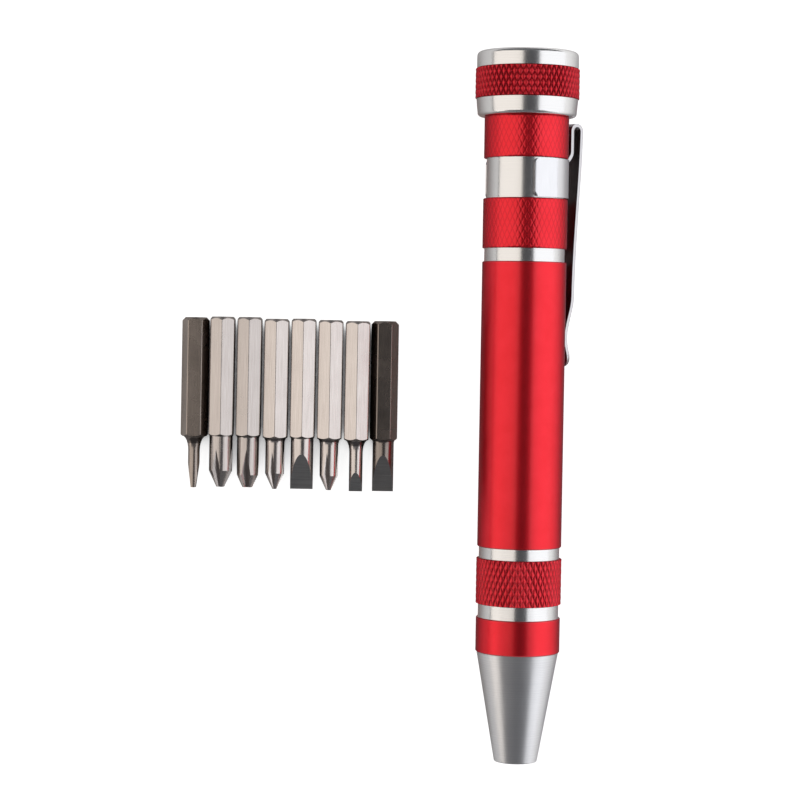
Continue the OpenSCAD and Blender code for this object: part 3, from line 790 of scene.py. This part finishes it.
# %% Thread tree
THREAD_COLUMNS = 4.0

thread_tree, entry, leave = new_tree(
    "thread", ("Wall", "Crest", "Start", "Pitch", "Turns", "Root Half", "Crest Half"), ("Steps",))
tree = thread_tree
calc = partial(math_node, tree)
turn_rows = calc("FLOOR", calc("MULTIPLY", entry["Turns"], entry["Steps"]))
flat_strip, column, row = grid_places(tree, THREAD_COLUMNS, turn_rows)
column_step = partial(one_step, tree, column)

# The ridge climbs over the first quarter turn and sinks over the last
quarter = calc("DIVIDE", entry["Steps"], 4.0)
fade_in = map_range(tree, row, 0.0, quarter)
fade_out = map_range(tree, row, calc("SUBTRACT", turn_rows, quarter), turn_rows, 1.0, 0.0)
ridge = calc("SUBTRACT", column_step(0.0), column_step(2.0))
lift = calc("MULTIPLY", ridge, calc("MULTIPLY", fade_in, fade_out))
radius = calc("MULTIPLY_ADD", calc("SUBTRACT", entry["Crest"], entry["Wall"]), lift, entry["Wall"])

# Its cross section: up a flank, over the crest, down the other flank and back inside
flank = calc("SUBTRACT", entry["Root Half"], entry["Crest Half"])
flanks = calc("ADD", column_step(0.0), column_step(2.0))
along = calc("MULTIPLY_ADD", flanks, flank, calc("MULTIPLY", entry["Root Half"], -1.0))
crest = calc("MULTIPLY", entry["Crest Half"], 2.0)
along = calc("MULTIPLY_ADD", column_step(1.0), crest, along)
root = calc("MULTIPLY", entry["Root Half"], -2.0)
along = calc("MULTIPLY_ADD", column_step(3.0), root, along)

# The last step at each end draws the strip in to a point
to_end = calc("MINIMUM", row, calc("SUBTRACT", turn_rows, row))
along = calc("MULTIPLY", along, calc("MINIMUM", to_end, 1.0))
turned = calc("DIVIDE", row, entry["Steps"])
height = calc("MULTIPLY_ADD", turned, entry["Pitch"], calc("ADD", along, entry["Start"]))
angle = calc("MULTIPLY", turned, 2 * math.pi)

# An outward ridge has its faces turned round, so that they look away from the metal
facing = add_node(tree, "GeometryNodeFlipFaces", {
    "Mesh": set_round(tree, flat_strip, radius, angle, height),
    "Selection": calc("GREATER_THAN", entry["Crest"], entry["Wall"])})
close_tree(tree, facing.outputs["Mesh"], entry, leave)
print("thread tree has", len(thread_tree.nodes), "nodes")

# %% Threads of the neck and the cap
PITCH = 1.0 * MM
CAP_BORE_R = THREAD_R + 0.15 * MM
CAP_CREST_R = THREAD_ROOT_R + 0.15 * MM
RIDGE_SINK = 0.2 * MM
ROOT_HALF, CREST_HALF = 0.43 * PITCH, 0.12 * PITCH
THREAD_STEPS = 48
WASHER_Z = NECK_END + 0.05 * MM


def threaded(name, wall, crest, low, high, body, node):
    """A thread between two heights, its ridge rising from a wall to a crest."""
    ridge = make_with(thread_tree, name, {
        "Wall": wall, "Crest": crest, "Start": low, "Pitch": PITCH, "Turns": (high - low) / PITCH,
        "Root Half": ROOT_HALF, "Crest Half": CREST_HALF, "Steps": THREAD_STEPS,
        "Material": bright_cut})
    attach(ridge, body)
    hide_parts(node)


threaded("neck_thread", THREAD_ROOT_R - RIDGE_SINK, THREAD_R,
         mouth_z + PITCH, NECK_END - PITCH, "barrel", "barrel")
threaded("cap_thread", CAP_BORE_R + RIDGE_SINK, CAP_CREST_R,
         mouth_z + 1.5 * PITCH, WASHER_Z - PITCH, "cap", "cap")

# %% [markdown]
# ## Cap
# The cap is one turned piece: a bright mouth, rounded and slightly tapered, the knurl in the
# middle and a bright ring with a softly rounded top. Its flat top shows the rings of the facing cut.

# %% Cap
RING_R = CAP_R - 0.2 * MM
CAP_CORE_R = CAP_R - 0.5 * MM
CAP_TOP = CAP_KNURL[1] + 2.7 * MM
MOUTH_R = RING_R - 0.2 * MM
MOUTH_ROUND, TOP_ROUND = 0.6 * MM, 0.7 * MM
ROOF = CAP_TOP - 2.0 * MM
STEP = 0.05 * MM

cap_outline = [(CAP_BORE_R, mouth_z, BRIGHT)]
cap_outline += arc((MOUTH_R - MOUTH_ROUND, mouth_z + MOUTH_ROUND), MOUTH_ROUND, -90, 0, BRIGHT)
cap_outline += [
    (RING_R, CAP_KNURL[0] - STEP, BRIGHT, "edge"), (RING_R - STEP, CAP_KNURL[0], BRIGHT),
    (CAP_CORE_R, CAP_KNURL[0], RED), (CAP_CORE_R, CAP_KNURL[1], BRIGHT),
    (RING_R - STEP, CAP_KNURL[1], BRIGHT), (RING_R, CAP_KNURL[1] + STEP, BRIGHT, "edge")]
cap_outline += arc((RING_R - TOP_ROUND, CAP_TOP - TOP_ROUND), TOP_ROUND, 0, 90, BRIGHT)
cap_outline += [(0, CAP_TOP, BRIGHT), (0, ROOF, BORE), (CAP_BORE_R, ROOF, BORE)]
cap_shell = swept("cap_shell", cap_outline, [cap_film, bright_cut, bore_metal])
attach(cap_shell, "cap")
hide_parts("cap")

# %% [markdown]
# ## Nose
# The nose is a bare turned cone with a hexagon socket for the bits. The outline is swept like
# the others, but the points of the socket follow a hexagon instead of a circle. Its spigot sits
# inside the barrel.

# %% Nose
SOCKET_CORNER_R = 4.1 * MM / 2 / math.cos(math.pi / 6)
TIP_R = SOCKET_CORNER_R + 1.14 * MM
CONE_R = BARREL_R - 0.2 * MM
SPIGOT_R = BORE_R - 0.02 * MM
SPIGOT_END = CONE_LEN + 8 * MM
SOCKET_DEPTH = 12 * MM
POCKET_R = 1.92 * MM
POCKET_END = SOCKET_DEPTH + 3.02 * MM
BARE, BORED = 0, 1
TIP_ROUND = 0.2 * MM
RIM_LEN, RIM_START, RIM_END = 0.08 * MM, 0.01 * MM, 0.06 * MM
SOCKET_LEAD = 0.25 * MM

nose_outline = [(SOCKET_CORNER_R + SOCKET_LEAD, 0, BARE)]
nose_outline += arc((TIP_R - TIP_ROUND, TIP_ROUND), TIP_ROUND, -90, 0, BARE, "edge", steps=4)
nose_outline += [
    (CONE_R - RIM_START, CONE_LEN - RIM_LEN, BARE, "edge"), (CONE_R - RIM_END, CONE_LEN, BARE, "edge"),
    (SPIGOT_R, CONE_LEN, BARE), (SPIGOT_R, SPIGOT_END, BARE),
    (0, SPIGOT_END, BORED), (0, POCKET_END, BORED),
    (POCKET_R, POCKET_END, BORED), (POCKET_R, SOCKET_DEPTH, BORED),
    (SOCKET_CORNER_R, SOCKET_DEPTH, BORED, "hexagon"), (SOCKET_CORNER_R, SOCKET_LEAD, BARE, "hexagon")]
nose_cone = swept("nose_cone", nose_outline, [cone_metal, bore_metal])
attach(nose_cone, "barrel")
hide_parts("nose")

# %% [markdown]
# ## Pocket clip
# The clip is one strip of spring steel. A collar grips its groove, a short stem steps out past
# the knurled neck, a tight fold turns it back, and a long tongue bows in to the barrel and
# flares at its tip. It is drawn as a single thin sheet, and Solidify and Bevel give it its
# thickness and its rounded edges.

# %% Middle line of the clip
CLIP_T = 0.55 * MM
CLIP_HALF_W = 2.4 * MM
CLIP_TURN = math.radians(38)
COLLAR_GAP = 0.12 * MM
COLLAR_R = CLIP_GROOVE_R + 0.05 * MM + CLIP_T / 2
COLLAR_HALF_WRAP = math.radians(119.5) * COLLAR_R
COLLAR_CORNER = 0.9 * MM
STEM_R = KNURL_R + 0.67 * MM + CLIP_T / 2
FOLD_R = 1.0 * MM
FOLD_TOP = mouth_z - 0.6 * MM
FOLD_Z = FOLD_TOP - FOLD_R - CLIP_T / 2
LEAF_R = STEM_R + 2 * FOLD_R
BEAR_R = BARREL_R + 0.08 * MM + CLIP_T / 2
TONGUE_TIP = FOLD_TOP - 39.7 * MM
FLARE_LEN = 4.6 * MM
FLARE_RISE = 1.4 * MM
BEAR_Z = TONGUE_TIP + FLARE_LEN
BEND_LEN = 2.9 * MM
BEND_INSET = 1.3 * MM
STEM_FADE = 0.5 * CLIP_HALF_W

collar_low = band_span["clip_groove"][0] + COLLAR_GAP
collar_high = band_span["clip_groove"][1] - COLLAR_GAP
bend_start = collar_high - BEND_INSET


def cubic(shares, along):
    """A value on a cubic curve with four control values."""
    back = 1 - along
    return (back ** 3 * shares[0] + 3 * along * back ** 2 * shares[1]
            + 3 * along ** 2 * back * shares[2] + along ** 3 * shares[3])


def steps(count, low=0.0, high=1.0):
    """Even steps after a low value, up to a high one."""
    return [low + (high - low) * step / count for step in range(1, count + 1)]


def tongue_place(run_shares, drop_shares, along):
    """Radius and height on the tongue, by shares of its run from the fold and of its drop."""
    return (LEAF_R - (LEAF_R - BEAR_R) * cubic(drop_shares, along),
            FOLD_Z - (FOLD_Z - BEAR_Z) * cubic(run_shares, along))


# Heights of the rows on the collar and on the stem, then radius and height on fold and tongue
collar_rows = [collar_low] + steps(10, collar_low, bend_start) + steps(6, bend_start, collar_high)
stem_rows = steps(6, collar_high, bend_start + BEND_LEN) + steps(6, bend_start + BEND_LEN, FOLD_Z)
fold_line = [(STEM_R + FOLD_R - FOLD_R * math.cos(turn), FOLD_Z + FOLD_R * math.sin(turn))
             for turn in steps(16, 0, math.pi)]
bow_line = [tongue_place((0, 0.25, 0.5, 0.8), (0, 0.06, 0.46, 0.5), along) for along in steps(32)]
bow_line += [tongue_place((0.8, 0.86, 0.93, 1), (0.5, 0.515, 1, 1), along) for along in steps(20)]
flare_line = [(BEAR_R + FLARE_RISE * along ** 1.5, BEAR_Z - FLARE_LEN * along)
              for along in [math.sin(turn) for turn in steps(24, 0, math.pi / 2)]]
print("clip rows:", len(collar_rows) + len(stem_rows), "and", len(fold_line + bow_line + flare_line))


# %% Sheet of the clip
def collar_half_height(along):
    """Half height of the collar at a way along it, smaller in its rounded corners."""
    half = (collar_high - collar_low) / 2
    into_corner = COLLAR_CORNER - (COLLAR_HALF_WRAP - abs(along))
    if into_corner <= 0:
        return half
    return half - COLLAR_CORNER + math.sqrt(max(COLLAR_CORNER ** 2 - into_corner ** 2, 0))


def smooth(share):
    """A soft step from 0 to 1."""
    share = min(max(share, 0), 1)
    return share * share * (3 - 2 * share)


def sheet_point(along, height, wanted_height):
    """A point of the collar or stem. The stem lifts off the collar and flattens as it rises."""
    bend = min(max((height - bend_start) / BEND_LEN, 0), 1)
    lifted = (1 - math.cos(math.pi * bend)) / 2
    lifted *= 1 - smooth((abs(along) - CLIP_HALF_W) / STEM_FADE)
    turn = along / COLLAR_R
    round_place = Vector((COLLAR_R * math.cos(turn), COLLAR_R * math.sin(turn), wanted_height))
    flat_place = Vector((STEM_R, along, wanted_height))
    return round_place.lerp(flat_place, lifted)


centre_ways = [-CLIP_HALF_W] + steps(12, -CLIP_HALF_W, CLIP_HALF_W)
side_ways = steps(24, CLIP_HALF_W, COLLAR_HALF_WRAP - COLLAR_CORNER)
side_ways += [COLLAR_HALF_WRAP - COLLAR_CORNER + COLLAR_CORNER * math.sin(turn)
              for turn in steps(7, 0, math.pi / 2)]
collar_ways = [-way for way in reversed(side_ways)] + centre_ways + side_ways

form = bmesh.new()
collar_mid = (collar_low + collar_high) / 2
rows = []
for height in collar_rows:
    share = (height - collar_mid) / ((collar_high - collar_low) / 2)
    rows.append([form.verts.new(sheet_point(way, height, collar_mid + share * collar_half_height(way)))
                 for way in collar_ways])
first = len(side_ways)
rows.append(rows[-1][first:first + len(centre_ways)])
for height in stem_rows:
    rows.append([form.verts.new(sheet_point(way, height, height)) for way in centre_ways])
for radius, height in fold_line + bow_line + flare_line:
    from_tip = min((height - TONGUE_TIP) / CLIP_HALF_W, 1)
    narrow = math.sqrt(max(1 - (1 - from_tip) ** 2, 0)) if height < BEAR_Z else 1
    rows.append([form.verts.new((radius, way * narrow, height)) for way in centre_ways])
for here, there in zip(rows, rows[1:]):
    if len(here) != len(there):
        continue
    for place in range(len(here) - 1):
        form.faces.new((here[place], here[place + 1], there[place + 1], there[place]))
bmesh.ops.remove_doubles(form, verts=form.verts[:], dist=SEAM_GAP)
bmesh.ops.recalc_face_normals(form, faces=form.faces[:])
form.transform(lay_down @ Matrix.Rotation(CLIP_TURN, 4, "Z"))
clip_mesh = bpy.data.meshes.new("pocket_clip")
form.to_mesh(clip_mesh)
form.free()
print("sheet of the clip:", len(clip_mesh.polygons), "faces")

# %% Thickness and edges of the clip
EDGE_ROUND = 0.09 * MM
CORNER_ANGLE, CLIP_SHARP = math.radians(50), math.radians(45)
LOOKS_INWARD = -0.8

pocket_clip = new_object("pocket_clip", clip_mesh, [clip_steel, clip_edge, clip_inside])
thicken = pocket_clip.modifiers.new("thickness", "SOLIDIFY")
thicken.thickness = CLIP_T
thicken.offset = 0
# The rims of the strip take the darker copy of the clip steel, as painted shade.
thicken.material_offset_rim = 1
round_edges = pocket_clip.modifiers.new("edges", "BEVEL")
round_edges.width = EDGE_ROUND
round_edges.segments = 3
round_edges.limit_method = "ANGLE"
round_edges.angle_limit = CORNER_ANGLE
mesh = bake_modifiers(pocket_clip)
mesh.shade_smooth()
mesh.set_sharp_from_angle(angle=CLIP_SHARP)

# The faces of the stem and the tongue that look at the barrel get painted shade: a dark steel for the dark barrel
# and shadowed floor they mirror
outward = (lay_down.to_3x3() @ Matrix.Rotation(CLIP_TURN, 3, "Z")) @ Vector((1, 0, 0))
for face in mesh.polygons:
    from_tip = face.center - nose_tip
    height = from_tip.dot(driver_axis)
    off_collar = height < collar_low or height > collar_high or from_tip.dot(outward) > STEM_R
    if off_collar and face.normal.dot(outward) < LOOKS_INWARD:
        face.material_index = 2
print("pocket_clip:", len(mesh.polygons), "faces")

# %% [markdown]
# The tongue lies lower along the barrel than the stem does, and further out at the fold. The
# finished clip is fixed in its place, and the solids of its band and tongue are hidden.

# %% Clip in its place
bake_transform(pocket_clip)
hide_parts("clip_band", "clip_tongue")

# %% [markdown]
# ## Bits
# The bits are hexagon steel rod with a turned end, nickel plated, with blades or flutes ground
# afterwards. Their solids already have the exact shapes, so each bit is a copy of its solid
# with the loose triangles joined into flat faces and the long edges rounded a little. The
# ground flats of the slotted blades are darker and duller than the plating. Shade is painted
# into the plating on the necks, the tail chamfers and the upright flats that face the next
# bit. Some bits are also darker all over.

# %% Bits
RIDGE_ROUND, SIDE_ROUND = 0.12 * MM, 0.28 * MM
LONG_EDGE = 15 * MM
RIDGE_DEPTH = 0.2 * MM
BIT_SEAM = 0.002 * MM
FLAT_AREA = 1e-6
BIT_SHARP, SAME_FLAT = math.radians(24), math.radians(1)
BIT_SHOULDER, TIP_BELOW = 8.4 * MM, 0.5 * MM
NECK_BELOW, NECK_ABOVE = 2.4 * MM, 0.8 * MM
NECK_SHADE, TAIL_SHADE, UPRIGHT_SHADE = 0.7, 0.35, 0.55
TO_TIP, TO_TAIL, ASIDE, ALONG_FLAT = -0.25, 0.3, 0.9, 0.5
TONES = {"bit_cross_2": 0.18, "bit_cross_1": 0.2, "bit_cross_00": 0.06, "bit_slotted_3": 0.25}


def bit_shade(normal, above_shoulder):
    """How much shade is painted on a face, from the way it looks and its place along the bit."""
    if normal.y < TO_TIP and -NECK_BELOW < above_shoulder < NECK_ABOVE:
        return NECK_SHADE
    if normal.y > TO_TAIL:
        return TAIL_SHADE
    return UPRIGHT_SHADE if abs(normal.x) > ASIDE else 0.0


def bit_mesh(name, shoulder):
    """The solid of a bit with joined faces, rounded long edges and a shade on each face."""
    form = bmesh.new()
    form.from_mesh(frame["nodes"][name].data)
    bmesh.ops.remove_doubles(form, verts=form.verts[:], dist=BIT_SEAM)
    bmesh.ops.dissolve_limit(form, angle_limit=SAME_FLAT, verts=form.verts[:], edges=form.edges[:])
    ridge_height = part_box(name)[1].z - RIDGE_DEPTH
    long_edges = [edge for edge in form.edges if edge.calc_length() > LONG_EDGE]
    ridges = [edge for edge in long_edges if edge.verts[0].co.z > ridge_height]
    sides = [edge for edge in long_edges if edge not in ridges]
    bmesh.ops.bevel(form, geom=ridges, offset=RIDGE_ROUND, segments=3, profile=0.5, affect="EDGES")
    sides = [edge for edge in sides if edge.is_valid]
    bmesh.ops.bevel(form, geom=sides, offset=SIDE_ROUND, segments=5, profile=0.5, affect="EDGES")
    bmesh.ops.remove_doubles(form, verts=form.verts[:], dist=BIT_SEAM)
    shade = form.faces.layers.float.new("shade")
    for face in form.faces:
        face.smooth = True
        above_shoulder = face.calc_center_median().y - shoulder
        # Each face takes its painted shade or its bit's darker tone, whichever is darker.
        face[shade] = max(bit_shade(face.normal, above_shoulder), TONES.get(name, 0.0))
    for edge in form.edges:
        beside_flat = any(face.calc_area() > FLAT_AREA for face in edge.link_faces)
        edge.smooth = not beside_flat and edge.calc_face_angle(0.0) < BIT_SHARP
    mesh = bpy.data.meshes.new(name)
    form.to_mesh(mesh)
    form.free()
    return mesh


def dressed_bit(name, plating):
    """A bit with its plating and, on slotted bits, its ground flats."""
    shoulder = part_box(name)[0].y + BIT_SHOULDER
    mesh = bit_mesh(name, shoulder)
    bit = new_object(name.replace("bit_", "") + "_bit", mesh, [plating, ground_steel])
    if "slotted" in name:
        for face in mesh.polygons:
            in_tip = face.center.y < shoulder - TIP_BELOW
            if in_tip and face.area > FLAT_AREA and abs(face.normal.y) < ALONG_FLAT:
                face.material_index = 1
    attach(bit, name)
    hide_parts(name)
    print(f"{bit.name}: {len(mesh.polygons)} faces")


for name in [name for name in frame["nodes"] if name.startswith("bit_") and name != "bit_magnet"]:
    dark = name in ("bit_slotted_1_5", "bit_slotted_3")
    dressed_bit(name, dark_steel if dark else bit_steel)

# %% [markdown]
# ## Magnet and washer
# Two small pieces stay as their solids, because a plain disc and a plain ring are what they are:
# the magnet at the bottom of the socket and the rubber washer in the roof of the cap.

# %% Magnet and washer
for name, material in (("bit_magnet", magnet_steel), ("cap_washer", rubber)):
    node_mesh = frame["nodes"][name].data
    node_mesh.materials.clear()
    node_mesh.materials.append(material)
print("kept solids: bit_magnet and cap_washer")
